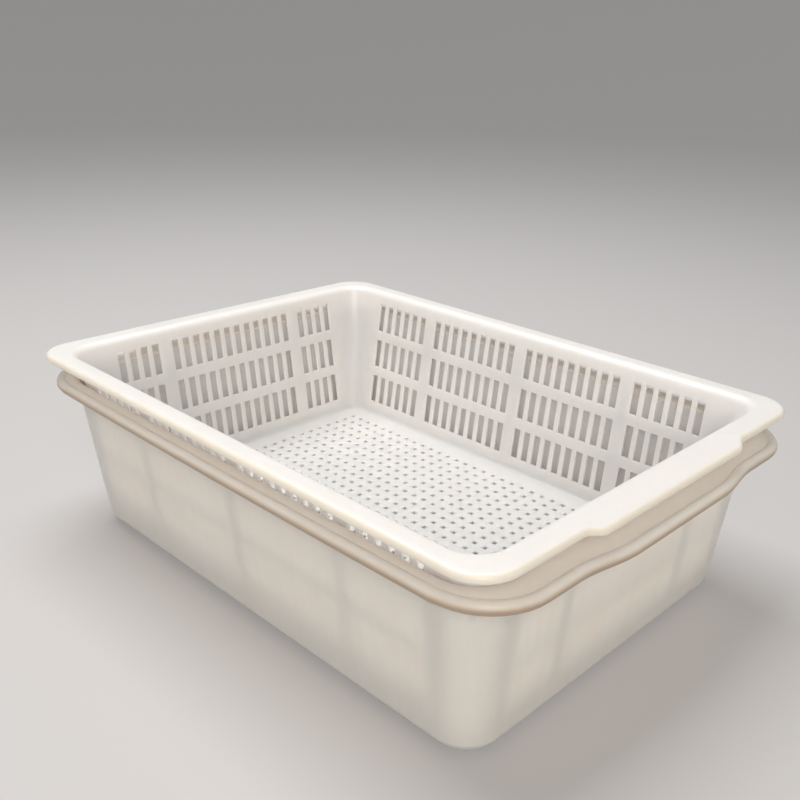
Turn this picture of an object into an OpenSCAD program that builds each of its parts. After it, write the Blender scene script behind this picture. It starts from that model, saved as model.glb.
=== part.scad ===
// Draining basket nested in a matching solid tub, both moulded in one piece.
// The basket has slotted sides and a floor drilled with a grid of small square holes,
// and lifts straight up out of the tub. Millimetres, +Z up, origin at the centre of the
// surface that the tub stands on. X runs along the long sides.

/* [Basket rim] */
// Length over the flat rim, without the two handle lips
rim_l = 385; // [382:1:400]
// Width over the flat rim
rim_w = 276; // [275:1:290]
// Height of the top of the rim above the table
rim_z = 119; // [112:1:130]
// Corner radius of the rim outline
rim_r = 21; // [16:1:26]
// Thickness of the rim plate
rim_t = 2.2; // [1.8:0.1:3]
// Height of the turned down lip along the rim's outer edge
lip_h = 4.2; // [3.6:0.1:6]
// Rounding of the rim's outer top edge
lip_r = 2.6; // [1.5:0.1:3]
// How far each handle lip stands out past the short sides
tab_out = 4.4; // [3:0.1:5.6]
// Length of each handle lip
tab_l = 126; // [90:1:150]

/* [Basket body] */
// Inside length at the level of the rim
mouth_l = 350; // [340:1:350]
// Inside width at the level of the rim
mouth_w = 245; // [240:1:245]
// Rounding from the rim down into the walls
mouth_r = 4.5; // [3:0.5:6]
// Lean of the basket walls from the vertical, in degrees
lean = 8.25; // [7:0.25:8.5]
// Inside radius of the upright corners
corner_r = 15; // [14:0.5:16]
// Wall thickness
wall_t = 2; // [1.6:0.1:2.4]
// Height of the floor's top face above the table
floor_z = 21; // [18:1:24]
// Floor thickness
floor_t = 2; // [1.6:0.1:3]
// Depth of the thin bars under the floor
bar_h = 4; // [2:0.5:8]
// Thickness of the thin bars under the floor
bar_t = 1.6; // [1:0.1:2.4]

/* [Slots] */
// Slot height
slot_h = 21.3; // [16:0.1:23]
// Distance from one row of slots to the next
row_step = 29; // [26:0.5:30]
// Drop from the top of the rim to the top of the first row
row_drop = 9; // [8:0.5:11]
// Slot width in the long walls
long_slot = 5.4; // [3:0.1:6.4]
// Slot spacing in the long walls
long_step = 9; // [8:0.1:9.2]
// Spacing across the plain strips between groups in the long walls
long_gap = 16; // [12:0.5:18]
// Slot width in the short walls
short_slot = 5; // [3:0.1:6.2]
// Slot spacing in the short walls
short_step = 8.6; // [7.5:0.1:8.8]
// Spacing across the plain strips between groups in the short walls
short_gap = 15.4; // [12:0.2:17]

/* [Floor holes] */
// Side of each square hole
hole = 3.2; // [2:0.1:4.5]
// Hole spacing, both ways
hole_step = 8.8; // [7.5:0.1:8.8]
// Holes along the length
hole_cols = 34; // [20:2:34]
// Holes across the width
hole_rows = 22; // [12:2:22]

/* [Tub] */
// Length of the tub at its base
tub_l = 338; // [334:1:342]
// Width of the tub at its base
tub_w = 232; // [229:1:236]
// Height of the tub's flat rim above the table
tub_z = 102.4; // [98:0.2:106]
// Corner radius at the base
tub_r = 15; // [14:1:16]
// Rounding between the base and the sides
base_r = 10; // [6:0.5:12]
// Outward lean of the tub walls, in millimetres per millimetre of height
tub_lean = 0.105; // [0.1:0.001:0.11]
// Wall and floor thickness
tub_t = 2.4; // [2:0.1:2.6]
// Length over the rolled rim
bead_l = 394; // [390:1:400]
// Width over the rolled rim
bead_w = 273; // [270:1:280]
// Corner radius of the rolled rim
bead_corner = 36; // [30:1:40]
// Radius of the rolled edge
bead_r = 3.5; // [3:0.1:4]
// How far the rolled rim swells out at each short side, for the hands
grip_out = 5; // [4:0.5:7]
// Length of the straight part of each swelling
grip_l = 104; // [60:1:120]

/* [Hidden] */
$fn = 48;
long_groups = [6, 9, 9, 6];
short_groups = [4, 12, 4];
rows = 3;
// Columns of floor holes that have a bar running under them, four or five columns apart.
bar_cols = [for (k = [0:6]) round(3.8 + 4.5 * k)];
tl = tan(lean);
cl = cos(lean);
// The corner of two walls that both lean out runs along (tl, tl, 1).
edge_tilt = atan(sqrt(2) * tl);
edge_turn = acos(pow(sin(lean), 2));
// Inside half sizes at height z.
function in_x(z) = mouth_l / 2 - (rim_z - z) * tl;
function in_y(z) = mouth_w / 2 - (rim_z - z) * tl;
function arc(c, r, a, b, n = 8) =
    [for (i = [0:n]) c + r * [cos(a + (b - a) * i / n), sin(a + (b - a) * i / n)]];
// Positions of the slots: groups of equal steps with a wider gap between groups.
function run(groups, step, gap, g = 0, at = 0) =
    g == len(groups) ? [] :
    concat([for (i = [0:groups[g] - 1]) at + i * step],
           run(groups, step, gap, g + 1, at + (groups[g] - 1) * step + gap));
function centred(v) = [for (x = v) x - v[len(v) - 1] / 2];
long_at = centred(run(long_groups, long_step, long_gap));
short_at = centred(run(short_groups, short_step, short_gap));
// Cosine and sine of the bends at the ends of a handle lip and of a tub swelling.
turn = [0.8, 0.6];
foot_r = 5;
foot_x = in_x(floor_z) - corner_r + 4;
foot_y = in_y(floor_z) - corner_r + 4;

// Rectangle with round corners, given by its half sizes.
module plate(x, y, r) {
    square([2 * x - 2 * r, 2 * y], center = true);
    square([2 * x, 2 * y - 2 * r], center = true);
    for (sx = [-1, 1], sy = [-1, 1]) translate([sx * (x - r), sy * (y - r)]) circle(r);
}

// An outline is a list of steps, run counter-clockwise: [length] is a straight run,
// [radius, angle] a bend to the left and [radius, -angle] a bend to the right.
// A place is [x, y, heading], and heading 0 looks toward +Y.
function leap(p, s) =
    let (h = p[2], r = s[0], a = s[1])
    len(s) == 1 ? [p[0] - r * sin(h), p[1] + r * cos(h), h] :
    a > 0 ? [p[0] + r * (cos(h + a) - cos(h)), p[1] + r * (sin(h + a) - sin(h)), h + a] :
    [p[0] + r * (cos(h) - cos(h + a)), p[1] + r * (sin(h) - sin(h + a)), h + a];
function places(steps, p, i = 0) =
    i == len(steps) ? [] : concat([p], places(steps, leap(p, steps[i]), i + 1));

// Sweeps a profile along an outline. The profile's x points outward, its y is the height.
module trail(steps, start) {
    at = places(steps, start);
    for (i = [0:len(steps) - 1]) {
        s = steps[i];
        translate([at[i][0], at[i][1], 0]) rotate([0, 0, at[i][2]])
            if (len(s) == 1)
                translate([0, s[0], 0]) rotate([90, 0, 0]) linear_extrude(s[0]) children();
            else if (s[1] > 0)
                translate([-s[0], 0, 0]) rotate_extrude(angle = s[1])
                    translate([s[0], 0]) children();
            else
                translate([s[0], 0, 0]) rotate([0, 0, 180 + s[1]])
                    rotate_extrude(angle = -s[1]) translate([s[0], 0]) mirror([1, 0]) children();
    }
}

// Sweeps a profile round fixed corner centres at (x, y): its x is the distance from them.
module ring(x, y) {
    trail([[2 * y], [0, 90], [2 * x], [0, 90], [2 * y], [0, 90], [2 * x], [0, 90]],
          [x, -y, 0]) children();
}

// Sweeps a profile round an outline of half sizes x and y. Each short side carries a
// swelling of straight length l that stands out by o, reached through two opposite bends
// whose angle is set by turn.
module around(x, y, r, o, l) {
    a = atan2(turn[1], turn[0]);
    b = o / 2 / (1 - turn[0]);
    rest = y - r - l / 2 - 2 * b * turn[1];
    half = [[l], [b, a], [b, -a], [rest], [r, 90], [2 * (x - r)], [r, 90], [rest], [b, -a],
            [b, a]];
    trail(concat(half, half), [x + o, -l / 2, 0]) children();
}

// One leaning wall panel, seen flat: its half width follows the upright corner's edge.
module panel_flat(half, at, w) {
    up = 1 / cl;
    off = corner_r * tan(edge_turn / 2) / cos(atan(sin(lean)));
    b = half - (rim_z - floor_z + floor_t) * tl - off;
    t = half - off;
    difference() {
        polygon([[-b, -floor_t * up], [b, -floor_t * up], [t, (rim_z - floor_z) * up],
                 [-t, (rim_z - floor_z) * up]]);
        for (x = at, k = [0:rows - 1])
            translate([x - w / 2, (rim_z - row_drop - k * row_step - slot_h - floor_z) * up])
                square([w, slot_h * up]);
    }
}

// Stands a panel up at distance d from the centre, at the height of the floor.
module stand(d, half, at, w) {
    translate([0, -d, floor_z]) rotate([90 + lean, 0, 0])
        linear_extrude(wall_t) panel_flat(half, at, w);
}

module walls() {
    for (k = [0, 180]) rotate([0, 0, k]) {
        stand(in_y(floor_z), mouth_l / 2, long_at, long_slot);
        rotate([0, 0, 90]) stand(in_x(floor_z), mouth_w / 2, short_at, short_slot);
    }
    // Upright corners: a round bend that touches both leaning walls.
    for (sx = [0, 1], sy = [0, 1]) mirror([sx, 0, 0]) mirror([0, sy, 0])
        translate([in_x(floor_z), in_y(floor_z), floor_z]) rotate([0, edge_tilt, 45])
            translate([-corner_r / cos(edge_turn / 2), 0, 0])
                rotate([0, 0, -edge_turn / 2]) rotate_extrude(angle = edge_turn)
                    translate([corner_r, -12]) square([wall_t, rim_z - floor_z + 24]);
}

// Rim plate with its turned down lip, and the rounded mouth that leads into the walls.
module rim() {
    hx = mouth_l / 2;
    hy = mouth_w / 2;
    translate([0, 0, rim_z - rim_t]) linear_extrude(rim_t) difference() {
        plate(rim_l / 2 - 2.3, rim_w / 2 - 2.3, rim_r - 2.3);
        plate(hx + mouth_r, hy + mouth_r, corner_r + mouth_r);
    }
    // Outer band of the rim with the lip, wide enough to bridge the handle lips.
    around(rim_l / 2, rim_w / 2, rim_r, tab_out, tab_l) polygon(concat(
        [[-tab_out - 2.8, rim_z - rim_t], [-tab_out - 2.8, rim_z]],
        arc([-lip_r, rim_z - lip_r], lip_r, 90, 0),
        [[0, rim_z - lip_h + 0.5], [-0.5, rim_z - lip_h], [-1.7, rim_z - lip_h],
         [-2.1, rim_z - lip_h + 0.4], [-2.1, rim_z - rim_t]]));
    // Mouth: a quarter round outside the wall, swept round the opening.
    ring(hx - corner_r, hy - corner_r) translate([corner_r, 0]) polygon(concat(
        [[mouth_r, rim_z - rim_t]], [[mouth_r, rim_z]],
        arc([mouth_r, rim_z - mouth_r], mouth_r, 90, 180 + lean),
        [[-mouth_r * tl - 0.05 + wall_t / cl, rim_z - mouth_r * 1.2]]));
}

module floor_plate() {
    x = in_x(floor_z);
    y = in_y(floor_z);
    gx = hole_cols * hole_step / 2;
    gy = hole_rows * hole_step / 2;
    w = hole_step - hole;
    // The grid of holes is what a lattice of crossing strips leaves open.
    translate([0, 0, floor_z - floor_t]) linear_extrude(floor_t) {
        difference() {
            plate(x + 0.4, y + 0.4, corner_r + 0.4);
            square([2 * gx - w, 2 * gy - w], center = true);
        }
        for (i = [1:hole_cols - 1]) translate([i * hole_step - gx, 0])
            square([w, 2 * gy], center = true);
        for (j = [1:hole_rows - 1]) translate([0, j * hole_step - gy])
            square([2 * gx, w], center = true);
    }
    for (c = bar_cols)
        translate([(c - (hole_cols - 1) / 2) * hole_step - bar_t / 2, -y + 2,
                   floor_z - floor_t - bar_h])
            cube([bar_t, 2 * y - 4, bar_h]);
    // Feet under the plain border, standing on the tub's floor.
    for (p = [[foot_x, foot_y], [0, in_y(floor_z) - 7]], sx = [-1, 1], sy = [-1, 1])
        if (p[0] > 0 || sx > 0)
            translate([sx * p[0], sy * p[1], tub_t])
                cylinder(r = foot_r, h = floor_z - floor_t - tub_t);
}

module basket() {
    color("#f2ede2") {
        floor_plate();
        intersection() {
            walls();
            translate([-rim_l / 2, -rim_w / 2, floor_z - floor_t])
                cube([rim_l, rim_w, rim_z - mouth_r - floor_z + floor_t]);
        }
        rim();
    }
}

// Tub wall profile, measured out from the centres of the base corners.
module tub_profile() {
    n = sqrt(1 + tub_lean * tub_lean);
    a = -atan(tub_lean);
    uc = tub_r + tub_lean * base_r - base_r * n;
    ri = base_r - tub_t;
    polygon(concat([[4, 0]], arc([uc, base_r], base_r, -90, a),
        [[tub_r + tub_lean * tub_z, tub_z], [tub_r + tub_lean * tub_z - tub_t * n, tub_z]],
        arc([uc, base_r], ri, a, -90), [[4, tub_t]]));
}

module tub() {
    cx = tub_l / 2 - tub_r;
    cy = tub_w / 2 - tub_r;
    u = tub_r + tub_lean * tub_z;
    color("#d9cdbb") {
        linear_extrude(tub_t) plate(cx + 4, cy + 4, 4);
        ring(cx, cy) tub_profile();
        translate([0, 0, tub_z - rim_t]) linear_extrude(rim_t) difference() {
            plate(bead_l / 2 - 5.3, bead_w / 2 - 5.3, bead_corner - 5.3);
            plate(cx + u - 1, cy + u - 1, u - 1);
        }
        around(bead_l / 2, bead_w / 2, bead_corner, grip_out, grip_l) {
            translate([-grip_out - 5.7, tub_z - rim_t]) square([grip_out + 0.5, rim_t]);
            translate([-bead_r, tub_z + 0.6 - bead_r]) difference() {
                circle(bead_r);
                circle(bead_r - 1.8);
                translate([-bead_r - 1, -bead_r - 1]) square([bead_r + 1, bead_r + 0.5]);
            }
        }
    }
}

tub();
basket();
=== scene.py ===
"""Looks of a draining basket nested in a tub. Metres, in the CAD frame; lengths in MM are millimetres."""

import math

import bmesh
import bpy
from mathutils import Matrix, Vector


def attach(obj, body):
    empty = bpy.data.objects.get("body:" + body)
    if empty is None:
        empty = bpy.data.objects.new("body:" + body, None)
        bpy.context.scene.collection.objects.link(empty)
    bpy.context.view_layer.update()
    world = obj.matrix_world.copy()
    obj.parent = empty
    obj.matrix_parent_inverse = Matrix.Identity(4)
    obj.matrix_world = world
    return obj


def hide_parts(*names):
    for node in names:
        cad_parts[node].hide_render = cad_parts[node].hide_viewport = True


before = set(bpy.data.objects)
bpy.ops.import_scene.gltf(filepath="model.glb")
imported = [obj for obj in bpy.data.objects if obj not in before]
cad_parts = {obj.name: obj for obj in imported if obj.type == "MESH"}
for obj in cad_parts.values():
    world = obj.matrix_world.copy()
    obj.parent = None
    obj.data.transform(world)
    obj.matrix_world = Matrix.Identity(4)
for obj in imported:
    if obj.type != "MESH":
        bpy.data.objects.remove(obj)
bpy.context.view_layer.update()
MM = 0.001

# ---------------------------------------------------------------- camera

camera = bpy.data.objects.new("camera", bpy.data.cameras.new("camera"))
bpy.context.scene.collection.objects.link(camera)
# Turned from the +Y direction towards -X, tipped down from level, and rolled about its own axis.
HEADING, DOWN, ROLL = (math.radians(a) for a in (43.278, 21.248, 1.467))
turn = (Matrix.Rotation(HEADING, 4, "Z") @ Matrix.Rotation(math.pi / 2 - DOWN, 4, "X")
        @ Matrix.Rotation(ROLL, 4, "Z"))
camera.matrix_world = Matrix.Translation((0.3887, -0.3764, 0.3194)) @ turn
camera.data.sensor_width = 36.0
camera.data.lens = 42.4
camera.data.shift_x = -0.046
camera.data.shift_y = -0.011
camera.data.clip_start = 0.01
bpy.context.scene.camera = camera
bpy.context.scene.view_settings.view_transform = "Standard"

# ---------------------------------------------------------------- sizes, in millimetres

# Basket. X and Y are half lengths. A handle lip is a tab: flat in the middle, then a double bend.
RIM_Z = 119.0
RIM_X, RIM_Y, RIM_R = 192.5, 138.0, 21.0
TAB_OUT, TAB_FLAT, TAB_BEND, TAB_DROOP = 4.4, 61.0, 11.0, 1.4
LIP_H, LIP_R = 4.2, 2.6
MOUTH_X, MOUTH_Y, MOUTH_R = 175.0, 122.5, 5.5
LEAN_DEG = 8.25
LEAN = math.tan(math.radians(LEAN_DEG))
CORNER_R = 15.0
WALL_T = 2.0
FLOOR_Z, FLOOR_R, BORDER = 21.0, 4.0, 2.0
HOLE, STEP, COLS, ROWS = 3.3, 8.8, 34, 22
SLOT_TOPS = (110.0, 81.0, 52.0)
SLOT_H = 21.3
FOOT_R, FOOT_INSET, BAR_COUNT, BAR_H = 5.0, 7.0, 7, 4.0

# Tub. The bead is its rolled edge, and the grip is where the bead swells out for the hands.
TUB_X, TUB_Y, TUB_Z = 169.0, 116.0, 102.4
TUB_R, BASE_R, TUB_LEAN, TUB_T = 20.0, 10.0, 0.105, 2.4
BEAD_X, BEAD_Y, BEAD_CORNER, BEAD_R, BEAD_BOW = 197.0, 136.5, 36.0, 3.5, 1.8
GRIP_OUT, GRIP_FLAT, GRIP_BEND = 5.0, 40.0, 38.0

CORNER_STEPS = 10


def slots(groups, width, step, gap):
    """Left and right edge of each slot, centred on zero."""
    at, centres = 0.0, []
    for count in groups:
        centres += [at + i * step for i in range(count)]
        at = centres[-1] + gap
    middle = centres[-1] / 2
    return [(c - middle - width / 2, c - middle + width / 2) for c in centres]


LONG = slots((6, 9, 9, 6), 5.4, 9.0, 16.0)
SHORT = slots((4, 12, 4), 5.0, 8.6, 15.4)


def ease(t):
    """Runs smoothly from 0 to 1 as t does, and stays at the ends beyond."""
    t = min(max(t, 0.0), 1.0)
    return t * t * (3 - 2 * t)


def swelling(y, flat, bend):
    """1 along the middle of a short side, 0 past the double bend at each end."""
    return 1 - ease((abs(y) - flat) / bend)


def outline(x, y, r, xs, ys, swell=None, bow=0.0):
    """A closed loop with round corners, counter-clockwise from the start of the +X side.

    xs and ys are the extra points along the sides. The short sides swell, the long sides bow.
    """
    def out(t):
        return swell[0] * swelling(t, swell[1], swell[2]) if swell else 0.0

    def bent(t):
        return bow * (1 - (t / x) ** 2)

    def corner(cx, cy, start):
        for i in range(1, CORNER_STEPS):
            a = math.radians(start + 90 * i / CORNER_STEPS)
            yield cx + r * math.cos(a), cy + r * math.sin(a)

    sides = [-(y - r)] + ys + [y - r], [-(x - r)] + xs + [x - r]
    loop = [(x + out(t), t) for t in sides[0]]
    loop += corner(x - r, y - r, 0)
    loop += [(t, y + bent(t)) for t in reversed(sides[1])]
    loop += corner(-(x - r), y - r, 90)
    loop += [(-(x + out(t)), t) for t in reversed(sides[0])]
    loop += corner(-(x - r), -(y - r), 180)
    loop += [(t, -(y + bent(t))) for t in sides[1]]
    loop += corner(x - r, -(y - r), 270)
    return loop


def lofted(bm, loops, skip=None):
    """Joins loops of (x, y, z) with quads, leaving out those whose middle skip() accepts."""
    rows = [[bm.verts.new((p[0] * MM, p[1] * MM, p[2] * MM)) for p in loop] for loop in loops]
    for a, b in zip(rows, rows[1:]):
        for i in range(len(a)):
            j = (i + 1) % len(a)
            quad = a[i], a[j], b[j], b[i]
            middle = sum((v.co for v in quad), Vector()) / 4 / MM
            if not (skip and skip(middle)):
                bm.faces.new(quad)
    return rows


def finished(name, bm, modifiers, angle=40):
    """Makes an object of a bmesh and applies its modifiers."""
    mesh = bpy.data.meshes.new(name)
    bm.to_mesh(mesh)
    bm.free()
    piece = bpy.data.objects.new(name, mesh)
    bpy.context.scene.collection.objects.link(piece)
    for kind, settings in modifiers:
        m = piece.modifiers.new(kind.lower(), kind)
        for key, value in settings.items():
            setattr(m, key, value)
    done = bpy.data.meshes.new_from_object(
        piece.evaluated_get(bpy.context.evaluated_depsgraph_get()))
    piece.modifiers.clear()
    piece.data = done
    done.name = name
    done.shade_smooth()
    done.set_sharp_from_angle(angle=math.radians(angle))
    return piece


# ---------------------------------------------------------------- basket

def quarter(cx, cz, r, start, end, n):
    """Points of an arc in a cross section, from one angle to another in n steps."""
    for i in range(n + 1):
        a = math.radians(start + (end - start) * i / n)
        yield cx + r * math.cos(a), cz + r * math.sin(a)


def basket_loops():
    """Levels from the lip's lower edge, over the rim and down the inside to the floor."""
    xs = sorted([e for pair in LONG for e in pair] + [0.0])
    ys = sorted([e for pair in SHORT for e in pair]
                + [s * (TAB_FLAT + TAB_BEND * k / 6) for s in (-1, 1) for k in range(7)])

    def rim_loop(inset, z):
        loop = outline(RIM_X - inset, RIM_Y - inset, RIM_R - inset, xs, ys,
                       (TAB_OUT, TAB_FLAT, TAB_BEND))
        return [(px, py, z - TAB_DROOP * tab(px, py)) for px, py in loop]

    def tab(px, py):
        """1 on the outer part of a handle lip, 0 elsewhere."""
        return swelling(py, TAB_FLAT, TAB_BEND) * ease((abs(px) - 186) / 8)

    def wall_loop(out, z, down):
        """Loop at a distance out from the wall's plane at the rim, lowered by down."""
        x = MOUTH_X + out - down * LEAN
        y = MOUTH_Y + out - down * LEAN
        return [(px, py, z) for px, py in outline(x, y, CORNER_R + out, xs, ys)]

    loops = [rim_loop(0.35, RIM_Z - LIP_H), rim_loop(0.1, RIM_Z - LIP_H + 0.6)]
    loops += [rim_loop(-u, z) for u, z in quarter(-LIP_R, RIM_Z - LIP_R, LIP_R, 0, 90, 6)]
    loops.append(rim_loop(5.5, RIM_Z))
    # Mouth rounding: from the flat rim into the leaning wall.
    r = MOUTH_R
    loops.append(wall_loop(r + 2.5, RIM_Z, 0))
    for i in range(8):
        a = math.radians(90 + (90 - LEAN_DEG) * i / 7)
        loops.append(wall_loop(r * 1.06 + r * math.cos(a), RIM_Z - r + r * math.sin(a), 0))
    edges = sorted({z for top in SLOT_TOPS for z in (top, top - SLOT_H)}, reverse=True)
    for z in edges:
        loops.append(wall_loop(0, z, RIM_Z - z))
    # Fillet at the floor.
    f = FLOOR_R
    for i in range(6):
        a = math.radians((90 - LEAN_DEG) * i / 5)
        down = RIM_Z - FLOOR_Z - f + f * math.sin(a)
        loops.append(wall_loop(-f * (1 - math.cos(a)), RIM_Z - down, RIM_Z - FLOOR_Z - f))
    return loops


def in_slot(p):
    """Whether the middle of a face of the wall falls in a slot."""
    if abs(p.x) > abs(p.y) * MOUTH_X / MOUTH_Y:
        edges, along = SHORT, p.y
    else:
        edges, along = LONG, p.x
    tall = any(top - SLOT_H < p.z < top for top in SLOT_TOPS)
    return tall and any(a < along < b for a, b in edges)


def make_basket():
    bm = bmesh.new()
    last = lofted(bm, basket_loops(), in_slot)[-1]
    # Floor: a lattice of quads with a square hole in each cell, and a plain border.
    half = HOLE / 2
    xs, ys = ([t for c in range(n) for t in ((c - (n - 1) / 2) * STEP - half,
                                            (c - (n - 1) / 2) * STEP + half)]
              for n in (COLS, ROWS))
    xs = [xs[0] - BORDER] + xs + [xs[-1] + BORDER]
    ys = [ys[0] - BORDER] + ys + [ys[-1] + BORDER]
    grid = [[bm.verts.new((x * MM, y * MM, FLOOR_Z * MM)) for y in ys] for x in xs]
    for i in range(len(xs) - 1):
        for j in range(len(ys) - 1):
            if not (i % 2 and j % 2):
                bm.faces.new((grid[i][j], grid[i + 1][j], grid[i + 1][j + 1], grid[i][j + 1]))
    inner = ([column[0] for column in grid] + grid[-1][1:]
             + [column[-1] for column in reversed(grid[:-1])] + grid[0][-2:0:-1])
    for v in last:
        v.co.z = FLOOR_Z * MM
    border = [bm.edges.get((ring[i - 1], ring[i])) for ring in (last, inner)
              for i in range(len(ring))]
    made = bmesh.ops.triangle_fill(bm, edges=border, use_beauty=True, use_dissolve=False)
    for face in made["geom"]:
        if isinstance(face, bmesh.types.BMFace) and face.normal.z < 0:
            face.normal_flip()
    return finished("basket_moulding", bm, [
        ("SOLIDIFY", {"thickness": WALL_T * MM, "offset": -1.0, "use_even_offset": True,
                      "use_quality_normals": True}),
        ("BEVEL", {"width": 0.3 * MM, "segments": 2, "limit_method": "ANGLE",
                   "angle_limit": math.radians(55), "use_clamp_overlap": True}),
    ])


# ---------------------------------------------------------------- tub

def tub_loops():
    """Levels from the base up the outside, over the rolled edge and down the inside."""
    xs = [-135 + 15.0 * i for i in range(19)]
    ys = [-78 + 6.0 * i for i in range(27)]
    grip = (GRIP_OUT, GRIP_FLAT, GRIP_BEND)
    lean = math.degrees(math.atan(TUB_LEAN))
    loops = []

    def body(out, z):
        """Loop at a distance out from the wall's foot. The corners open out a little upward."""
        loop = outline(TUB_X + out, TUB_Y + out, TUB_R + (out if out < 0 else 0.3 * out),
                       xs, ys)
        loops.append([(px, py, z) for px, py in loop])

    def bead(inset, z):
        """Loop at a distance in from the rolled edge's outermost line."""
        loop = outline(BEAD_X - inset, BEAD_Y - inset, BEAD_CORNER - inset, xs, ys, grip,
                       BEAD_BOW)
        loops.append([(px, py, z) for px, py in loop])

    # Outside: base rounding, wall, and the underside of the ledge.
    for u, z in quarter(-BASE_R, BASE_R, BASE_R, -90, -lean, 8):
        body(u + 0.5, z)
    for z in (25, 45, 65, 82, 94):
        body(TUB_LEAN * z, z)
    for u, z in quarter(TUB_LEAN * 96 + 3.6, 96.6, 3.6, 180, 90, 4):
        body(u, z)
    # Rolled edge: up inside the hollow, round the free edge and over the top.
    cx, cz = BEAD_R, TUB_Z + 0.6 - BEAD_R
    bead(cx + 2.4, 100.0)
    for u, z in quarter(0, cz, 1.7, 110, -60, 5):
        bead(cx - u, z)
    for u, z in quarter(0, cz, BEAD_R, -75, 96, 14):
        bead(cx - u, z)
    # Crease, ledge, and down the inside.
    bead(cx + 1.4, TUB_Z + 0.15)
    bead(cx + 1.9, TUB_Z - 0.2)
    bead(cx + 2.6, TUB_Z)
    t = TUB_T
    body(TUB_LEAN * TUB_Z + 1.2, TUB_Z)
    for u, z in quarter(TUB_LEAN * TUB_Z + 0.6, TUB_Z - 3, 3, 90, 180, 5):
        body(u, z)
    for z in (80, 60, 40, 22):
        body(TUB_LEAN * z - t, z)
    for u, z in quarter(-BASE_R, BASE_R, BASE_R - t, -lean, -90, 6):
        body(u + 0.5, z)
    return loops


def make_tub():
    bm = bmesh.new()
    rows = lofted(bm, tub_loops())
    bm.faces.new(list(reversed(rows[0])))
    bm.faces.new(rows[-1])
    bmesh.ops.recalc_face_normals(bm, faces=bm.faces)
    return finished("tub_moulding", bm, [])


# ---------------------------------------------------------------- small parts of the basket

def make_feet():
    """Short feet under the corners of the floor and the middles of its long sides."""
    bm = bmesh.new()
    x = MOUTH_X - (RIM_Z - FLOOR_Z) * LEAN - CORNER_R + 4
    y = MOUTH_Y - (RIM_Z - FLOOR_Z) * LEAN
    places = [(sx * x, sy * (y - CORNER_R + 4)) for sx in (-1, 1) for sy in (-1, 1)]
    places += [(0, y - FOOT_INSET), (0, FOOT_INSET - y)]
    # Radius and height: a rounded sole on the tub's floor, a tapered stem, a small flare on top.
    profile = [(FOOT_R - 0.9, TUB_T), (FOOT_R - 0.4, TUB_T + 0.2), (FOOT_R - 0.2, TUB_T + 0.8),
               (FOOT_R, 18.2), (FOOT_R + 0.6, 19.1)]
    for px, py in places:
        rows = lofted(bm, [[(px + r * math.cos(math.tau * i / 24),
                             py + r * math.sin(math.tau * i / 24), z)
                            for i in range(24)] for r, z in profile])
        bm.faces.new(list(reversed(rows[0])))
        bm.faces.new(rows[-1])
    return finished("basket_feet", bm, [])


def make_bars():
    """Thin bars under the floor, each centred on a column of holes."""
    bm = bmesh.new()
    y = MOUTH_Y - (RIM_Z - FLOOR_Z) * LEAN - 2
    top, low = FLOOR_Z - WALL_T + 0.1, FLOOR_Z - WALL_T - BAR_H
    for k in range(BAR_COUNT):
        x = (round(3.8 + 4.5 * k) - (COLS - 1) / 2) * STEP
        rows = lofted(bm, [[(x - h, -e, z), (x + h, -e, z), (x + h, e, z), (x - h, e, z)]
                           for h, e, z in ((0.65, y - 3, low), (0.85, y, top))])
        bm.faces.new(list(reversed(rows[0])))
        bm.faces.new(rows[-1])
    return finished("basket_bars", bm, [
        ("BEVEL", {"width": 0.3 * MM, "segments": 2, "limit_method": "ANGLE"})])


# ---------------------------------------------------------------- plastic

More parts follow.
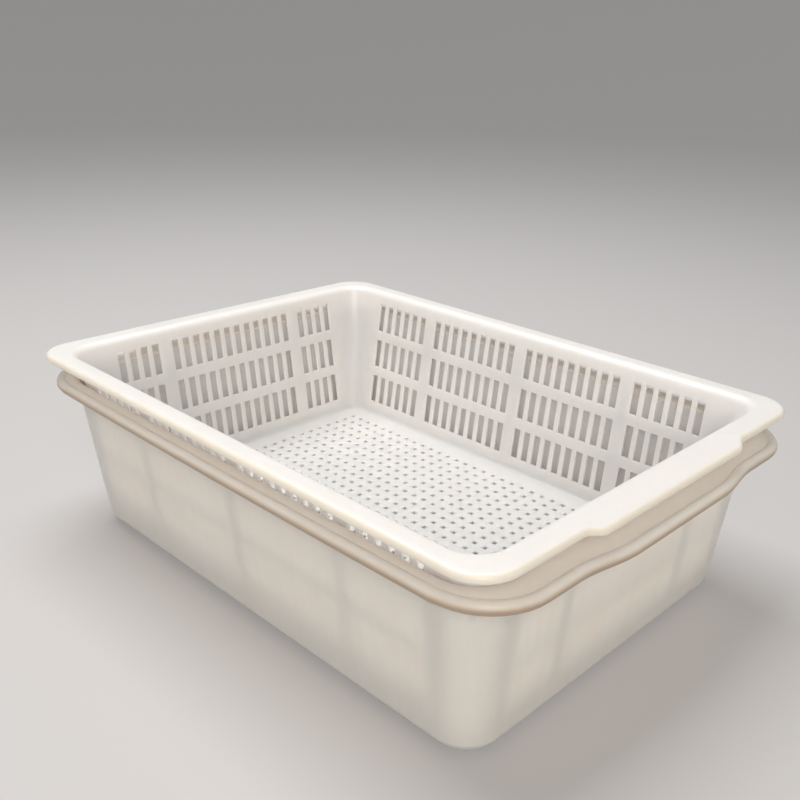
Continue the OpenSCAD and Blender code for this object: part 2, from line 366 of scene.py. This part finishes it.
def plastic(name, pale, deep, rough, radius, tints):
    """Moulded polypropylene that lets light through, with a cloudy colour and a satin skin.

    Each of the tints is the name of a mask stored on the mesh, and the colour it mixes in.
    """
    material = bpy.data.materials.new(name)
    material.use_nodes = True
    nodes, links = material.node_tree.nodes, material.node_tree.links
    shader = nodes["Principled BSDF"]
    shader.inputs["IOR"].default_value = 1.49
    shader.inputs["Subsurface Weight"].default_value = 1.0
    shader.inputs["Subsurface Radius"].default_value = radius
    shader.inputs["Subsurface Scale"].default_value = 1.0
    where = nodes.new("ShaderNodeTexCoord")

    def noise(scale, detail, stretch=(1, 1, 1)):
        shape = nodes.new("ShaderNodeMapping")
        shape.inputs["Scale"].default_value = stretch
        links.new(where.outputs["Object"], shape.inputs["Vector"])
        n = nodes.new("ShaderNodeTexNoise")
        n.inputs["Scale"].default_value = scale
        n.inputs["Detail"].default_value = detail
        links.new(shape.outputs["Vector"], n.inputs["Vector"])
        return n.outputs["Fac"]

    def ramp(source, low, high, a, b):
        m = nodes.new("ShaderNodeMapRange")
        for key, value in (("From Min", low), ("From Max", high), ("To Min", a), ("To Max", b)):
            m.inputs[key].default_value = value
        links.new(source, m.inputs["Value"])
        return m.outputs["Result"]

    def mixed(factor, a, b):
        m = nodes.new("ShaderNodeMix")
        m.data_type = "RGBA"
        links.new(factor, m.inputs["Factor"])
        for value, socket in ((a, m.inputs["A"]), (b, m.inputs["B"])):
            if isinstance(value, tuple):
                socket.default_value = (*value, 1)
            else:
                links.new(value, socket)
        return m.outputs["Result"]

    # Cloudy patches, and the faint upright streaks that the melt leaves as it flows.
    tone = nodes.new("ShaderNodeMath")
    tone.operation = "ADD"
    links.new(ramp(noise(14, 3), 0.35, 0.65, 0, 0.55), tone.inputs[0])
    links.new(ramp(noise(170, 2, (1, 1, 0.05)), 0.35, 0.65, 0, 0.45), tone.inputs[1])
    colour = mixed(tone.outputs[0], pale, deep)
    for part, tint in tints:
        mask = nodes.new("ShaderNodeAttribute")
        mask.attribute_name = part
        colour = mixed(mask.outputs["Fac"], colour, tint)
    links.new(colour, shader.inputs["Base Color"])
    links.new(ramp(noise(60, 4), 0.3, 0.7, rough - 0.05, rough + 0.07), shader.inputs["Roughness"])
    height = nodes.new("ShaderNodeMath")
    height.operation = "ADD"
    links.new(ramp(noise(2200, 2), 0, 1, 0, 0.4), height.inputs[0])
    links.new(ramp(noise(35, 2, (1, 1, 0.25)), 0, 1, 0, 1.0), height.inputs[1])
    bump = nodes.new("ShaderNodeBump")
    bump.inputs["Strength"].default_value = 0.25
    bump.inputs["Distance"].default_value = 0.0006
    links.new(height.outputs[0], bump.inputs["Height"])
    links.new(bump.outputs["Normal"], shader.inputs["Normal"])
    return material


def mark(piece, part, share):
    """Stores how much of a part's tint each point takes."""
    mask = piece.data.attributes.new(part, "FLOAT", "POINT")
    for i, v in enumerate(piece.data.vertices):
        mask.data[i].value = share(v.co / MM)


def beyond(p, x, y, r):
    """How far a point lies outside a rectangle with round corners, seen from above."""
    dx, dy = abs(p.x) - (x - r), abs(p.y) - (y - r)
    return (math.hypot(dx, dy) if min(dx, dy) > 0 else max(dx, dy)) - r


def on_lip(p):
    """The basket's thick outer lip, warmer because less light comes through it."""
    out = TAB_OUT * swelling(p.y, TAB_FLAT, TAB_BEND) if abs(p.x) > RIM_X - 8 else 0
    return ease((beyond(p, RIM_X + out, RIM_Y, RIM_R) + 2.6) / 1.8)


def bead_underside_shade(p):
    """The tub's rolled edge, with painted shade darkening it towards its underside, where less light
    falls.
    """
    out = GRIP_OUT * swelling(p.y, GRIP_FLAT, GRIP_BEND) if abs(p.x) > BEAD_X - 20 else 0
    inside = ease((beyond(p, BEAD_X + out, BEAD_Y, BEAD_CORNER) + 7.5) / 2)
    return inside * ease((TUB_Z + 0.4 - p.z) / 4)


def hollow_painted_shade(p):
    """The tub's inner face, tinted a cooler grey as painted shade for the shadow behind the basket; the
    tint stays when the basket is lifted out.
    """
    wide = TUB_LEAN * p.z
    inner = beyond(p, TUB_X + wide, TUB_Y + wide, TUB_R) < -1.2
    return 1.0 if inner and 1 < p.z < TUB_Z - 1 else 0.0


basket = make_basket()
feet = make_feet()
bars = make_bars()
tub = make_tub()
mark(basket, "edge", on_lip)
# Painted shade: the tub's rolled edge is darkened towards its underside.
mark(tub, "edge", bead_underside_shade)
# Painted shade: the tub's inner face is tinted a cooler, darker grey.
mark(tub, "hollow", hollow_painted_shade)

basket_plastic = plastic("basket_plastic", (0.91, 0.872, 0.838), (0.885, 0.843, 0.805), 0.34,
                         (0.0090, 0.0080, 0.0072), [("edge", (0.88, 0.775, 0.64))])
# The tub's tints are painted shade: dark on the rolled edge's underside, cooler grey on the inner face.
tub_plastic = plastic("tub_plastic", (0.93, 0.825, 0.73), (0.90, 0.785, 0.685), 0.38,
                      (0.0115, 0.0100, 0.0090),
                      [("edge", (0.33, 0.275, 0.215)), ("hollow", (0.62, 0.63, 0.64))])
for piece in (basket, feet, bars):
    piece.data.materials.clear()
    piece.data.materials.append(basket_plastic)
    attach(piece, "basket")
tub.data.materials.clear()
tub.data.materials.append(tub_plastic)
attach(tub, "tub")
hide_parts("basket")
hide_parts("tub")

# ---------------------------------------------------------------- studio

def make_floor():
    """A wide pale floor that curves up all round, so that no horizon shows."""
    bm = bmesh.new()
    flat, rise, sides = 2.6, 1.6, 96
    profile = [(0.6, 0), (1.6, 0), (flat, 0)]
    profile += [(flat + rise * math.sin(a), rise - rise * math.cos(a))
                for a in (math.radians(9 * i) for i in range(1, 11))]
    angles = [math.tau * i / sides for i in range(sides)]
    rows = [[bm.verts.new((r * math.cos(a), r * math.sin(a), z)) for a in angles]
            for r, z in profile]
    bm.faces.new(rows[0])
    for a, b in zip(rows, rows[1:]):
        for i in range(sides):
            bm.faces.new((a[i - 1], b[i - 1], b[i], a[i]))
    mesh = bpy.data.meshes.new("floor")
    bm.to_mesh(mesh)
    bm.free()
    mesh.shade_smooth()
    floor = bpy.data.objects.new("floor", mesh)
    floor.location.z = -0.0002
    bpy.context.scene.collection.objects.link(floor)
    pale = bpy.data.materials.new("floor")
    pale.use_nodes = True
    shader = pale.node_tree.nodes["Principled BSDF"]
    shader.inputs["Base Color"].default_value = (0.46, 0.46, 0.47, 1)
    shader.inputs["Roughness"].default_value = 0.6
    shader.inputs["Emission Color"].default_value = (1.0, 0.98, 0.96, 1)
    shader.inputs["Emission Strength"].default_value = 0.10
    mesh.materials.append(pale)


make_floor()

world = bpy.data.worlds.new("world")
world.use_nodes = True
world.node_tree.nodes["Background"].inputs["Color"].default_value = (0.99, 0.98, 0.97, 1)
world.node_tree.nodes["Background"].inputs["Strength"].default_value = 0.31
bpy.context.scene.world = world


def lamp(name, at, aim, size, power, colour):
    """A square area lamp at a place, turned to an aim."""
    data = bpy.data.lights.new(name, "AREA")
    data.shape = "SQUARE"
    data.size = size
    data.energy = power
    data.color = colour
    obj = bpy.data.objects.new(name, data)
    obj.location = at
    obj.rotation_euler = (Vector(aim) - Vector(at)).to_track_quat("-Z", "Y").to_euler()
    bpy.context.scene.collection.objects.link(obj)


lamp("over", (-0.42, 0.06, 1.45), (0, 0, 0), 1.0, 18.8, (1.0, 0.967, 0.93))
lamp("fill", (1.50, -1.40, 1.10), (0, 0, 0.06), 1.3, 28.0, (1.0, 0.91, 0.81))
